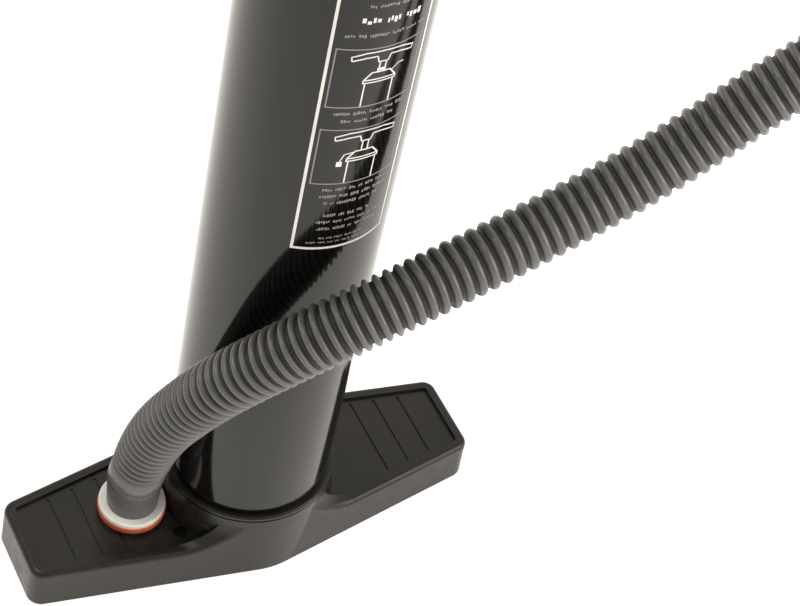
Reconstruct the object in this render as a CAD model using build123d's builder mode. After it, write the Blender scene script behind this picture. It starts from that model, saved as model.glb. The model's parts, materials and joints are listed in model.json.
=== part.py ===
"""Double action hand pump: long foot, upright barrel, T-handle plunger and a free corrugated hose.

Frame: origin on the floor under the barrel's axis, +Z up, X along the foot with the hose
connection at -X, -Y towards the person who reads the barrel's print. Millimetres.
"""
from build123d import *
from math import asin, atan2, cos, degrees, hypot, pi, radians, sin, tan
import os

os.makedirs("parts", exist_ok=True)

# ---------------------------------------------------------------- driving dimensions
# foot
FOOT_HALF_LENGTH = 141.8
FOOT_END_HALF_WIDTH = 27.5
FOOT_MID_RADIUS = 51.0
FOOT_BOTTOM = 1.0
FOOT_TOP = 29.0
FOOT_DRAFT = 2.2
FOOT_CORNER_RADIUS = 9.0
FOOT_WALL = 3.0
RIM_WIDTH = 7.5
RIM_FILLET = 3.5
TREAD_DEPTH = 2.0
DECK = 3.0
GROOVE_X = (84.0, 99.0, 114.5)
GROOVE_WIDTH = 1.8
GROOVE_DEPTH = 0.8
COLLAR_RADIUS = 51.0
COLLAR_TOP = 54.0
SKIRT_RADIUS = 66.0
SKIRT_TOP = 45.0
COLLAR_FOOT_RADIUS = 53.0
COLLAR_CREASE = 38.0
RIB_X = (75.0, 91.5, 107.0, 131.0)
RIB_THICKNESS = 2.0
SCREW_X = -51.0
SCREW_Y = -25.0
SCREW_BOSS = 6.5
SCREW_HEAD = 3.6
SCREW_HEAD_HEIGHT = 2.2
SCREW_CORE = 1.8
SCREW_WELL = 4.0
PAD_X = 119.0
PAD_Y = 13.0
PAD_RADIUS = 7.5
PAD_HEIGHT = 3.0
COVER_BOTTOM = 5.0
COVER_RADIUS = 47.0
COVER_GAP = 0.1
DUCT_WIDTH = 22.0
DUCT_OUTER = 30.0
DUCT_TOP = 21.0
# barrel and cylinder
BARREL_RADIUS = 47.5
BARREL_WALL = 1.7
BARREL_BOTTOM = 31.0
BARREL_TOP = 500.0
LINER_RADIUS = 44.0
BORE_RADIUS = 42.4
LINER_TOP = 492.0
# valve plate and valves
PLENUM_RADIUS = 45.0
PLENUM_BOTTOM = 8.0
PLATE_TOP = 36.0
INLET_BORE = 10.0
INLET_TUBE = 12.5
INLET_DISC = 13.5
CAGE_INNER = 14.5
CAGE_OUTER = 17.0
CAGE_HEIGHT = 4.6
OUTLET_CIRCLE = 26.0
OUTLET_HOLE = 4.0
LOWER_RING_INNER = 19.0
LOWER_RING_OUTER = 33.0
UPPER_RING_INNER = 35.5
UPPER_RING_OUTER = 44.4
RETAINER_TOP = 28.4
VALVE_GAP = 0.1
RING_THICKNESS = 0.8
# cap
CAP_RADIUS = 51.0
CAP_BOTTOM = 480.0
CAP_SHOULDER = 505.0
CAP_TOP = 536.0
NECK_RADIUS = 24.0
NECK_BASE = 526.0
CAP_PLATE = 4.0
CAP_HOLE_CIRCLE = 23.5
CAP_HOLE = 2.6
CAP_RIBS = 40
CAP_RING_INNER = 18.6
CAP_RING_OUTER = 28.4
BUSH_RADIUS = 19.0
BUSH_BOTTOM = 514.0
WIPER_HEIGHT = 6.0
# shaft and piston
SHAFT_X = 24.0
SHAFT_Y = 18.0
SHAFT_CORNER = 3.0
SHAFT_BOTTOM = 62.0
SHAFT_TOP = 560.0
SHAFT_CLEARANCE = 0.05
PISTON_RADIUS = 41.6
SEAL_RADIUS = 42.34
SEAL_INNER = 34.0
SEAL_HEIGHT = 6.0
PISTON_BOTTOM = 44.0
PISTON_DISC = 6.0
BOLT_RADIUS = 4.0
BOLT_HEAD = 7.0
BOLT_HEAD_HEIGHT = 5.0
BUMP_INNER = 19.0
BUMP_OUTER = 27.0
BUMP_SEAT = 1.5
# handle
BAR_Z = 564.0
BAR_RADIUS = 12.0
HANDLE_HALF = 115.0
GRIP_RADIUS = 15.0
GRIP_START = 36.0
HUB_BOTTOM = 537.0
HUB_X = 38.0
HUB_Y = 30.0
HUB_SPREAD = 22.0
CORE_HALF = 108.0
PIN_RADIUS = 2.5
PIN_Z = 546.0
# relief plug on the cap's shoulder
PLUG_CIRCLE = 34.0
PLUG_ANGLE = -90.0
ANCHOR_ANGLE = -45.0
BOSS_TOP = 520.0
PLUG_BORE = 5.05
PLUG_HEAD = 7.0
PLUG_HEAD_HEIGHT = 3.0
PLUG_STEM = 5.0
PLUG_STEM_ROOT = 4.95
PLUG_STEM_TIP = 3.8
ANCHOR_BOSS = 5.5
ANCHOR_PEG = 2.0
STRAP_WIDTH = 5.0
STRAP_THICKNESS = 1.4
STRAP_ROOT = 6.5
PLUG_LIFT = 0.1
# hose connection and hose
PORT_X = -71.5
SPIGOT_RADIUS = 12.5
SPIGOT_BORE = 9.5
GASKET_RADIUS = 19.9
NUT_RADIUS = 19.4
GASKET_TOP = 33.6
NUT_TOP = 36.5
PORT_SEAT = 29.3
CUFF_TOP = 58.0
SPIGOT_TOP = 46.0
CUFF_BASE_RADIUS = 14.8
HOSE_DIAMETER = 32.0
HOSE_BORE = 14.0
END_CUFF_LENGTH = 48.0
NOZZLE_LENGTH = 62.0
NOZZLE_TIP_RADIUS = 9.0
NOZZLE_TIP_START = 44.0
NOZZLE_BORE = 7.0

TREAD_Z = FOOT_TOP - TREAD_DEPTH
DECK_UNDER = TREAD_Z - DECK
BARREL_INNER = BARREL_RADIUS - BARREL_WALL
HOSE_RADIUS = HOSE_DIAMETER / 2

# Centre line of the hose from the cuff's top to the far cuff, as the corners of its route.
HOSE_ROUTE = [
    (-71.5, 0, 58), (-71.5, 0, 83), (-70, -9, 119), (-64, -27, 160), (-54, -49, 203),
    (-28, -68, 242), (12, -77, 267), (58, -77, 279), (106, -77, 296), (158, -80, 326),
    (212, -88, 370), (267, -103, 408), (322, -120, 430), (379, -139, 434), (435, -161, 419),
    (483, -183, 387), (519, -205, 341), (541, -222, 288), (549, -238, 230), (541, -254, 171),
    (517, -270, 117), (478, -286, 73), (430, -300, 41), (376, -310, 22), (323, -317, 17),
    (275, -322, 17),
]


def foot_corners(inset):
    """Half outline of the foot, drawn in by inset, as the corners of a long hexagon."""
    slope = asin(FOOT_MID_RADIUS / hypot(FOOT_HALF_LENGTH, FOOT_END_HALF_WIDTH))
    slope -= atan2(FOOT_END_HALF_WIDTH, FOOT_HALF_LENGTH)
    apex = (FOOT_MID_RADIUS - inset) / cos(slope)
    end_x = FOOT_HALF_LENGTH - inset
    end_y = apex - end_x * tan(slope)
    return [(end_x, end_y), (0, apex), (-end_x, end_y), (-end_x, -end_y), (0, -apex), (end_x, -end_y)]


def foot_outline(inset):
    """The foot's outline drawn in by inset: straight sides, round middle, rounded corners."""
    with BuildSketch() as outline:
        Polygon(*foot_corners(inset), align=None)
        columns = outline.vertices().group_by(Axis.X)
        fillet(columns[0] + columns[-1], max(FOOT_CORNER_RADIUS - inset, 1.5))
        middle = outline.vertices().filter_by(lambda v: abs(v.X) < 1)
        fillet(middle, FOOT_MID_RADIUS - inset)
    return outline.sketch


def cover_outline(gap):
    """Plan of the cover plate under the foot: a disc with a tongue under the hose connection."""
    with BuildSketch() as outline:
        Circle(COVER_RADIUS - gap)
        with Locations((PORT_X / 2, 0)):
            Rectangle(-PORT_X, DUCT_OUTER - 2 - 2 * gap)
        with Locations((PORT_X, 0)):
            Circle(DUCT_OUTER / 2 - 1 - gap)
    return outline.sketch


def save(part, label):
    """Label a finished piece and write it."""
    part.label = label
    export_step(part, f"parts/{label}.step")


# ---------------------------------------------------------------- foot
# the space over both treads, bounded by the rim and by the collar's foot
with BuildPart() as tread_space:
    with BuildSketch(Plane.XY.offset(TREAD_Z)):
        add(foot_outline(RIM_WIDTH))
    extrude(amount=SKIRT_TOP - TREAD_Z)
    with BuildSketch(Plane.XZ):
        Polygon(
            (0, TREAD_Z - 1), (COLLAR_FOOT_RADIUS, TREAD_Z - 1), (COLLAR_FOOT_RADIUS, TREAD_Z + 1),
            (COLLAR_RADIUS, COLLAR_CREASE), (COLLAR_RADIUS, SKIRT_TOP + 1), (0, SKIRT_TOP + 1), align=None,
        )
    revolve(axis=Axis.Z, mode=Mode.SUBTRACT)

with BuildPart() as foot_shell:
    with BuildSketch(Plane.XY.offset(FOOT_BOTTOM)):
        add(foot_outline(0))
    extrude(amount=COLLAR_TOP - FOOT_BOTTOM, taper=FOOT_DRAFT)
    # everything above the foot's top and outside the collar's hollow skirt goes away
    with BuildSketch(Plane.XZ):
        with BuildLine():
            beyond = FOOT_HALF_LENGTH + 10
            above = COLLAR_TOP + 5
            skirt = TangentArc((COLLAR_RADIUS, SKIRT_TOP), (SKIRT_RADIUS, FOOT_TOP), tangent=(0.18, -1))
            Polyline(skirt @ 1, (beyond, FOOT_TOP), (beyond, above), (COLLAR_RADIUS, above), skirt @ 0)
        make_face()
    revolve(axis=Axis.Z, mode=Mode.SUBTRACT)
    rim_edges = edges().filter_by(lambda e: FOOT_TOP - 0.1 < e.center().Z < SKIRT_TOP - 0.5)
    rim_edges = rim_edges.filter_by(lambda e: hypot(e.center().X, e.center().Y) > 50)
    rim_edges = rim_edges.filter_by(lambda e: abs(e.center().Y) > 1 or abs(e.center().X) > SKIRT_RADIUS + 1)
    fillet(rim_edges, RIM_FILLET)
    # collar with its groove and stepped lip
    with BuildSketch(Plane.XY.offset(FOOT_BOTTOM)):
        Circle(COLLAR_RADIUS)
    extrude(amount=COLLAR_TOP - FOOT_BOTTOM)
    ring_groove = COLLAR_RADIUS - 1.0
    with BuildSketch(Plane.XZ):
        Polygon(
            (ring_groove, COLLAR_TOP - 3.4), (COLLAR_RADIUS + 1, COLLAR_TOP - 3.4),
            (COLLAR_RADIUS + 1, COLLAR_TOP - 2.2), (ring_groove, COLLAR_TOP - 2.2), align=None,
        )
        Polygon(
            (COLLAR_RADIUS - 1.4, COLLAR_TOP), (COLLAR_RADIUS + 1, COLLAR_TOP - 1.2),
            (COLLAR_RADIUS + 1, COLLAR_TOP + 1), (COLLAR_RADIUS - 1.4, COLLAR_TOP + 1), align=None,
        )
    revolve(axis=Axis.Z, mode=Mode.SUBTRACT)
    # recessed treads with their transverse grooves
    add(tread_space.part, mode=Mode.SUBTRACT)
    for side in (-1, 1):
        for groove_x in GROOVE_X:
            reach = 2 * (FOOT_MID_RADIUS - 0.162 * groove_x - RIM_WIDTH - 3.0)
            with BuildSketch(Plane.XY.offset(TREAD_Z - GROOVE_DEPTH)):
                with Locations((side * groove_x, 0)):
                    SlotOverall(reach, GROOVE_WIDTH, rotation=90)
            extrude(amount=GROOVE_DEPTH + 0.5, mode=Mode.SUBTRACT)
    # flat seat for the hose connection, let into the collar's skirt
    with BuildSketch(Plane.XY.offset(TREAD_Z)):
        with Locations((PORT_X, 0)):
            Circle(GASKET_RADIUS + 0.4)
    extrude(amount=COLLAR_TOP, mode=Mode.SUBTRACT)
    # raised seat of the hose connection
    with BuildSketch(Plane.XY.offset(TREAD_Z)):
        with Locations((PORT_X, 0)):
            Circle(NUT_RADIUS)
    extrude(amount=PORT_SEAT - TREAD_Z)
    # hollow underside, then the plenum block, the duct walls, ribs and pad posts
    with BuildSketch(Plane.XY.offset(FOOT_BOTTOM)):
        add(foot_outline(FOOT_WALL))
        Circle(PLENUM_RADIUS + 1, mode=Mode.SUBTRACT)
        with Locations((PORT_X / 2, 0)):
            Rectangle(-PORT_X, DUCT_OUTER, mode=Mode.SUBTRACT)
        with Locations((PORT_X, 0)):
            Circle(DUCT_OUTER / 2, mode=Mode.SUBTRACT)
        with Locations((SCREW_X, SCREW_Y), (-SCREW_X, -SCREW_Y)):
            Circle(SCREW_BOSS, mode=Mode.SUBTRACT)
        with GridLocations(2 * PAD_X, 2 * PAD_Y, 2, 2):
            Circle(PAD_RADIUS, mode=Mode.SUBTRACT)
        for rib_x in RIB_X:
            with Locations((rib_x, 0), (-rib_x, 0)):
                Rectangle(RIB_THICKNESS, 2 * FOOT_MID_RADIUS, mode=Mode.SUBTRACT)
        with Locations(((FOOT_HALF_LENGTH + SKIRT_RADIUS) / 2, 0), (-(FOOT_HALF_LENGTH + SKIRT_RADIUS) / 2, 0)):
            Rectangle(FOOT_HALF_LENGTH - SKIRT_RADIUS + 20, RIB_THICKNESS, mode=Mode.SUBTRACT)
    extrude(amount=DECK_UNDER - FOOT_BOTTOM, mode=Mode.SUBTRACT)
    # pad posts stop above the pads
    with BuildSketch(Plane.XY.offset(FOOT_BOTTOM)):
        with GridLocations(2 * PAD_X, 2 * PAD_Y, 2, 2):
            Circle(PAD_RADIUS)
    extrude(amount=PAD_HEIGHT - FOOT_BOTTOM, mode=Mode.SUBTRACT)
    # seat of the cover plate, plenum, barrel socket and duct
    with BuildSketch(Plane.XY.offset(FOOT_BOTTOM)):
        add(cover_outline(0))
    extrude(amount=PLENUM_BOTTOM - FOOT_BOTTOM, mode=Mode.SUBTRACT)
    with BuildSketch(Plane.XY.offset(PLENUM_BOTTOM)):
        Circle(PLENUM_RADIUS)
    extrude(amount=BARREL_BOTTOM - PLENUM_BOTTOM, mode=Mode.SUBTRACT)
    with BuildSketch(Plane.XY.offset(BARREL_BOTTOM - 1.0)):
        Circle(BARREL_RADIUS)
    extrude(amount=COLLAR_TOP - BARREL_BOTTOM + 1.0, mode=Mode.SUBTRACT)
    with BuildSketch(Plane.XY.offset(PLENUM_BOTTOM)):
        with Locations((PORT_X / 2, 0)):
            Rectangle(-PORT_X, DUCT_WIDTH)
        with Locations((PORT_X, 0)):
            Circle(DUCT_WIDTH / 2)
    extrude(amount=DUCT_TOP - PLENUM_BOTTOM, mode=Mode.SUBTRACT)
    with BuildSketch(Plane.XY.offset(PLENUM_BOTTOM)):
        with Locations((PORT_X, 0)):
            Circle(SPIGOT_RADIUS)
    extrude(amount=FOOT_TOP, mode=Mode.SUBTRACT)
    # countersunk wells of the two deck screws
    with BuildSketch(Plane.XY.offset(TREAD_Z - SCREW_WELL)):
        with Locations((SCREW_X, SCREW_Y), (-SCREW_X, -SCREW_Y)):
            Circle(SCREW_HEAD + 0.6)
    extrude(amount=SCREW_WELL + 20, mode=Mode.SUBTRACT)
    with BuildSketch(Plane.XY.offset(FOOT_BOTTOM)):
        with Locations((SCREW_X, SCREW_Y), (-SCREW_X, -SCREW_Y)):
            Circle(SCREW_CORE)
    extrude(amount=FOOT_TOP, mode=Mode.SUBTRACT)
save(foot_shell.part, "foot_shell")

with BuildPart() as foot_cover:
    with BuildSketch(Plane.XY.offset(COVER_BOTTOM)):
        add(cover_outline(COVER_GAP))
        Circle(INLET_BORE, mode=Mode.SUBTRACT)
    extrude(amount=PLENUM_BOTTOM - COVER_BOTTOM)
save(foot_cover.part, "foot_cover")

with BuildPart() as cover_screws:
    with BuildSketch(Plane.XY.offset(COVER_BOTTOM - 2.0)):
        with PolarLocations(COVER_RADIUS - 5, 6, start_angle=30):
            Circle(3.0)
    extrude(amount=2.0)
save(cover_screws.part, "cover_screws")

with BuildPart() as deck_screws:
    with BuildSketch(Plane.XY.offset(TREAD_Z - SCREW_WELL)):
        with Locations((SCREW_X, SCREW_Y), (-SCREW_X, -SCREW_Y)):
            Circle(SCREW_HEAD)
            RegularPolygon(SCREW_HEAD * 0.55, 6, mode=Mode.SUBTRACT)
    extrude(amount=SCREW_HEAD_HEIGHT)
    with BuildSketch(Plane.XY.offset(TREAD_Z - SCREW_WELL)):
        with Locations((SCREW_X, SCREW_Y), (-SCREW_X, -SCREW_Y)):
            Circle(SCREW_HEAD)
    extrude(amount=1.0)
    with BuildSketch(Plane.XY.offset(COVER_BOTTOM)):
        with Locations((SCREW_X, SCREW_Y), (-SCREW_X, -SCREW_Y)):
            Circle(SCREW_CORE)
    extrude(amount=TREAD_Z - SCREW_WELL - COVER_BOTTOM)
save(deck_screws.part, "deck_screws")

with BuildPart() as foot_pads:
    with BuildSketch():
        with GridLocations(2 * PAD_X, 2 * PAD_Y, 2, 2):
            Circle(PAD_RADIUS)
    extrude(amount=PAD_HEIGHT)
    fillet(edges().group_by(Axis.Z)[0], 0.8)
save(foot_pads.part, "foot_pads")

# ---------------------------------------------------------------- barrel and cylinder
with BuildPart() as barrel:
    with BuildSketch(Plane.XY.offset(BARREL_BOTTOM)):
        Circle(BARREL_RADIUS)
        Circle(BARREL_INNER, mode=Mode.SUBTRACT)
    extrude(amount=BARREL_TOP - BARREL_BOTTOM)
save(barrel.part, "barrel")

with BuildPart() as cylinder_liner:
    with BuildSketch(Plane.XY.offset(PLATE_TOP)):
        Circle(LINER_RADIUS)
        Circle(BORE_RADIUS, mode=Mode.SUBTRACT)
    extrude(amount=LINER_TOP - PLATE_TOP)
    # notches at the top let the upper chamber's air over into the gap round the liner
    for notch in range(4):
        with BuildSketch(Plane.XY.offset(LINER_TOP - 5)):
            Rectangle(2 * LINER_RADIUS + 4, 12, rotation=45 * notch)
        extrude(amount=6, mode=Mode.SUBTRACT)
save(cylinder_liner.part, "cylinder_liner")

with BuildPart() as valve_plate:
    with BuildSketch(Plane.XY.offset(BARREL_BOTTOM)):
        Circle(BARREL_INNER)
        Circle(INLET_BORE, mode=Mode.SUBTRACT)
        with PolarLocations(OUTLET_CIRCLE, 8):
            Circle(OUTLET_HOLE, mode=Mode.SUBTRACT)
        with PolarLocations((LINER_RADIUS + BARREL_INNER) / 2, 24):
            Circle((BARREL_INNER - LINER_RADIUS) / 2 - 0.15, mode=Mode.SUBTRACT)
    extrude(amount=PLATE_TOP - BARREL_BOTTOM)
    with BuildSketch(Plane.XY.offset(PLENUM_BOTTOM)):
        Circle(INLET_TUBE)
        Circle(INLET_BORE, mode=Mode.SUBTRACT)
    extrude(amount=BARREL_BOTTOM - PLENUM_BOTTOM)
save(valve_plate.part, "valve_plate")

with BuildPart() as inlet_disc:
    with BuildSketch(Plane.XY.offset(PLATE_TOP + VALVE_GAP)):
        Circle(INLET_DISC)
    extrude(amount=1.2)
    fillet(edges().group_by(Axis.Z)[-1], 0.4)
save(inlet_disc.part, "inlet_disc")

with BuildPart() as inlet_cage:
    with BuildSketch(Plane.XY.offset(PLATE_TOP)):
        Circle(CAGE_OUTER)
        Circle(CAGE_INNER, mode=Mode.SUBTRACT)
        Rectangle(2 * CAGE_OUTER + 2, 7, mode=Mode.SUBTRACT)
        Rectangle(7, 2 * CAGE_OUTER + 2, mode=Mode.SUBTRACT)
    extrude(amount=CAGE_HEIGHT)
    with BuildSketch(Plane.XY.offset(PLATE_TOP + CAGE_HEIGHT - 1.2)):
        Circle(CAGE_OUTER)
        Circle(CAGE_INNER - 3, mode=Mode.SUBTRACT)
        Rectangle(2 * CAGE_INNER, 2.5)
        Rectangle(2.5, 2 * CAGE_INNER)
    extrude(amount=1.2)
save(inlet_cage.part, "inlet_cage")

with BuildPart() as outlet_ring_lower:
    with BuildSketch(Plane.XY.offset(BARREL_BOTTOM - VALVE_GAP - RING_THICKNESS)):
        Circle(LOWER_RING_OUTER)
        Circle(LOWER_RING_INNER, mode=Mode.SUBTRACT)
    extrude(amount=RING_THICKNESS)
save(outlet_ring_lower.part, "outlet_ring_lower")

with BuildPart() as outlet_ring_upper:
    with BuildSketch(Plane.XY.offset(BARREL_BOTTOM - VALVE_GAP - RING_THICKNESS)):
        Circle(UPPER_RING_OUTER)
        Circle(UPPER_RING_INNER, mode=Mode.SUBTRACT)
    extrude(amount=RING_THICKNESS)
save(outlet_ring_upper.part, "outlet_ring_upper")

with BuildPart() as ring_retainer:
    with BuildSketch(Plane.XY.offset(RETAINER_TOP - 2.0)):
        Circle(INLET_TUBE + 3)
        Circle(INLET_TUBE, mode=Mode.SUBTRACT)
    extrude(amount=2.0)
    with BuildSketch(Plane.XY.offset(RETAINER_TOP - 2.0)):
        with PolarLocations((INLET_TUBE + UPPER_RING_OUTER) / 2 + 1, 6):
            Rectangle(UPPER_RING_OUTER - INLET_TUBE - 2.6, 3.0)
    extrude(amount=2.0)
save(ring_retainer.part, "ring_retainer")

with BuildPart() as barrel_seal:
    with BuildSketch(Plane.XY.offset(BARREL_BOTTOM - 1.0)):
        Circle(BARREL_RADIUS - 0.1)
        Circle(PLENUM_RADIUS + 0.1, mode=Mode.SUBTRACT)
    extrude(amount=1.0)
save(barrel_seal.part, "barrel_seal")

# ---------------------------------------------------------------- cap
relief_x = PLUG_CIRCLE * cos(radians(PLUG_ANGLE))
relief_y = PLUG_CIRCLE * sin(radians(PLUG_ANGLE))
anchor_x = PLUG_CIRCLE * cos(radians(ANCHOR_ANGLE))
anchor_y = PLUG_CIRCLE * sin(radians(ANCHOR_ANGLE))

strap_x = relief_x - anchor_x
strap_y = relief_y - anchor_y
strap_span = hypot(strap_x, strap_y)
strap_x /= strap_span
strap_y /= strap_span
strap_turn = degrees(atan2(strap_y, strap_x))
hinge_x = anchor_x + STRAP_ROOT * strap_x
hinge_y = anchor_y + STRAP_ROOT * strap_y
strap_bottom = BOSS_TOP + PLUG_LIFT
strap_top = strap_bottom + STRAP_THICKNESS
print("relief plug hinge at", round(hinge_x, 3), round(hinge_y, 3), round(strap_top, 3))
print("relief plug hinge axis", round(strap_y, 5), round(-strap_x, 5))

with BuildPart() as top_cap:
    with BuildSketch(Plane.XZ):
        Polygon(
            (0, LINER_TOP), (BARREL_INNER, LINER_TOP), (BARREL_INNER, BARREL_TOP),
            (BARREL_RADIUS, BARREL_TOP), (BARREL_RADIUS, CAP_BOTTOM), (CAP_RADIUS, CAP_BOTTOM),
            (CAP_RADIUS, CAP_SHOULDER), (NECK_RADIUS + 2, NECK_BASE), (NECK_RADIUS, NECK_BASE + 1),
            (NECK_RADIUS, CAP_TOP), (0, CAP_TOP), align=None,
        )
    revolve(axis=Axis.Z)
    crown = edges().filter_by(GeomType.CIRCLE).filter_by(lambda e: e.center().Z > CAP_SHOULDER - 1)
    fillet(crown.filter_by(lambda e: e.radius > CAP_RADIUS - 1), 4.0)
    fillet(edges().group_by(Axis.Z)[-1], 1.5)
    # air space over the inlet holes
    with BuildSketch(Plane.XZ):
        Polygon(
            (BUSH_RADIUS + 3, LINER_TOP + CAP_PLATE), (BARREL_INNER - 3, LINER_TOP + CAP_PLATE),
            (BARREL_INNER - 3, CAP_SHOULDER - 2), (NECK_RADIUS + 2, NECK_BASE - 6),
            (BUSH_RADIUS + 3, NECK_BASE - 6), align=None,
        )
    revolve(axis=Axis.Z, mode=Mode.SUBTRACT)
    with BuildSketch(Plane.XY.offset(BARREL_TOP - 5.0)):
        Circle(BARREL_INNER + 1)
        Circle(BARREL_INNER - 1.0, mode=Mode.SUBTRACT)
    extrude(amount=2.0, mode=Mode.SUBTRACT)
    # flat bosses for the relief plug and for the anchor of its strap
    with BuildSketch(Plane.XY.offset(LINER_TOP)):
        with Locations((relief_x, relief_y)):
            Circle(PLUG_HEAD + 1)
    extrude(amount=BOSS_TOP - LINER_TOP)
    with BuildSketch(Plane.XY.offset(CAP_SHOULDER)):
        with Locations((anchor_x, anchor_y)):
            Circle(ANCHOR_BOSS)
    extrude(amount=BOSS_TOP - CAP_SHOULDER)
    with BuildSketch(Plane.XY.offset(BOSS_TOP)):
        with Locations((anchor_x, anchor_y)):
            Circle(ANCHOR_PEG)
    extrude(amount=STRAP_THICKNESS + 0.8)
    with BuildSketch(Plane.XY.offset(LINER_TOP)):
        with Locations((relief_x, relief_y)):
            Circle(PLUG_BORE)
    extrude(amount=BOSS_TOP, mode=Mode.SUBTRACT)
    # room above the bosses for the plug and its strap
    with BuildSketch(Plane.XY.offset(BOSS_TOP)):
        with Locations((relief_x, relief_y)):
            Circle(PLUG_HEAD + 1)
        with Locations((anchor_x, anchor_y)):
            Circle(ANCHOR_BOSS)
            Circle(ANCHOR_PEG, mode=Mode.SUBTRACT)
        with Locations(((relief_x + anchor_x) / 2, (relief_y + anchor_y) / 2)):
            Rectangle(strap_span - 6, STRAP_WIDTH + 2, rotation=strap_turn)
    extrude(amount=CAP_TOP, mode=Mode.SUBTRACT)
    # bush bore, shaft passage, inlet holes in the plate and air vents at the back
    with BuildSketch(Plane.XY.offset(BUSH_BOTTOM)):
        Circle(BUSH_RADIUS)
    extrude(amount=CAP_TOP, mode=Mode.SUBTRACT)
    with BuildSketch(Plane.XY.offset(LINER_TOP)):
        RectangleRounded(SHAFT_X + 2, SHAFT_Y + 2, SHAFT_CORNER + 1)
    extrude(amount=CAP_TOP, mode=Mode.SUBTRACT)
    with BuildSketch(Plane.XY.offset(LINER_TOP)):
        with PolarLocations(CAP_HOLE_CIRCLE, 7, start_angle=-45, angular_range=270):
            Circle(CAP_HOLE)
    extrude(amount=CAP_PLATE, mode=Mode.SUBTRACT)
    with BuildSketch(Plane.XY.offset(CAP_SHOULDER)):
        with PolarLocations(PLUG_CIRCLE + 2, 5, start_angle=60, angular_range=60):
            SlotOverall(9, 2.4)
    extrude(amount=NECK_BASE - CAP_SHOULDER + 1, mode=Mode.SUBTRACT)
    # thumb ribs round the skirt
    with BuildSketch(Plane.XY.offset(CAP_BOTTOM)):
        with PolarLocations(CAP_RADIUS + 0.5, CAP_RIBS):
            Circle(1.2)
    extrude(amount=CAP_SHOULDER - CAP_BOTTOM - 6, mode=Mode.SUBTRACT)
save(top_cap.part, "top_cap")

with BuildPart() as cap_seal:
    with BuildSketch(Plane.XY.offset(BARREL_TOP - 5.0)):
        Circle(BARREL_INNER)
        Circle(BARREL_INNER - 1.0, mode=Mode.SUBTRACT)
    extrude(amount=2.0)
save(cap_seal.part, "cap_seal")

with BuildPart() as cap_ring:
    with BuildSketch(Plane.XY.offset(LINER_TOP - VALVE_GAP - RING_THICKNESS)):
        Circle(CAP_RING_OUTER)
        Circle(CAP_RING_INNER, mode=Mode.SUBTRACT)
    extrude(amount=RING_THICKNESS)
save(cap_ring.part, "cap_ring")

with BuildPart() as cap_ring_retainer:
    with BuildSketch(Plane.XY.offset(LINER_TOP - 3.8)):
        Circle(CAP_RING_INNER - 0.4)
        RectangleRounded(SHAFT_X + 2, SHAFT_Y + 2, SHAFT_CORNER + 1, mode=Mode.SUBTRACT)
    extrude(amount=3.8)
    with BuildSketch(Plane.XY.offset(LINER_TOP - 3.8)):
        with PolarLocations((CAP_RING_INNER + CAP_RING_OUTER) / 2 - 1, 6):
            Rectangle(CAP_RING_OUTER - CAP_RING_INNER + 2, 2.4)
    extrude(amount=1.2)
save(cap_ring_retainer.part, "cap_ring_retainer")

with BuildPart() as shaft_wiper:
    with BuildSketch(Plane.XY.offset(BUSH_BOTTOM)):
        Circle(BUSH_RADIUS)
        RectangleRounded(
            SHAFT_X + 2 * SHAFT_CLEARANCE, SHAFT_Y + 2 * SHAFT_CLEARANCE, SHAFT_CORNER, mode=Mode.SUBTRACT
        )
    extrude(amount=WIPER_HEIGHT)
save(shaft_wiper.part, "shaft_wiper")

with BuildPart() as shaft_bush:
    with BuildSketch(Plane.XY.offset(BUSH_BOTTOM + WIPER_HEIGHT)):
        Circle(BUSH_RADIUS)
        RectangleRounded(
            SHAFT_X + 2 * SHAFT_CLEARANCE, SHAFT_Y + 2 * SHAFT_CLEARANCE, SHAFT_CORNER, mode=Mode.SUBTRACT
        )
    extrude(amount=CAP_TOP - BUSH_BOTTOM - WIPER_HEIGHT)
    fillet(edges().group_by(Axis.Z)[-1].filter_by(GeomType.CIRCLE).sort_by(SortBy.RADIUS)[-1], 0.8)
save(shaft_bush.part, "shaft_bush")

with BuildPart() as strap_anchor:
    with BuildSketch(Plane.XY.offset(BOSS_TOP)):
        with Locations((anchor_x, anchor_y)):
            Circle(ANCHOR_PEG + 2.4)
        with Locations((anchor_x + STRAP_ROOT / 2 * strap_x, anchor_y + STRAP_ROOT / 2 * strap_y)):
            Rectangle(STRAP_ROOT - 0.3, STRAP_WIDTH, rotation=strap_turn)
        with Locations((anchor_x, anchor_y)):
            Circle(ANCHOR_PEG, mode=Mode.SUBTRACT)
    extrude(amount=PLUG_LIFT + STRAP_THICKNESS)
save(strap_anchor.part, "strap_anchor")

with BuildPart() as relief_plug:
    with BuildSketch(Plane.XY.offset(strap_bottom)):
        with Locations((relief_x, relief_y)):
            Circle(PLUG_HEAD)
    extrude(amount=PLUG_HEAD_HEIGHT)
    fillet(edges().group_by(Axis.Z)[-1], 1.2)
    with BuildSketch(Plane.XY.offset(strap_bottom)):
        middle_x = (hinge_x + relief_x) / 2 + 0.15 * strap_x
        middle_y = (hinge_y + relief_y) / 2 + 0.15 * strap_y
        with Locations((middle_x, middle_y)):
            Rectangle(strap_span - STRAP_ROOT - 0.3, STRAP_WIDTH, rotation=strap_turn)
    extrude(amount=STRAP_THICKNESS)
    with BuildSketch(Plane.XY.offset(strap_bottom)):
        with Locations((relief_x, relief_y)):
            Circle(PLUG_STEM_ROOT)
    with BuildSketch(Plane.XY.offset(strap_bottom - PLUG_STEM)):
        with Locations((relief_x, relief_y)):
            Circle(PLUG_STEM_TIP)
    loft()
save(relief_plug.part, "relief_plug")

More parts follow.
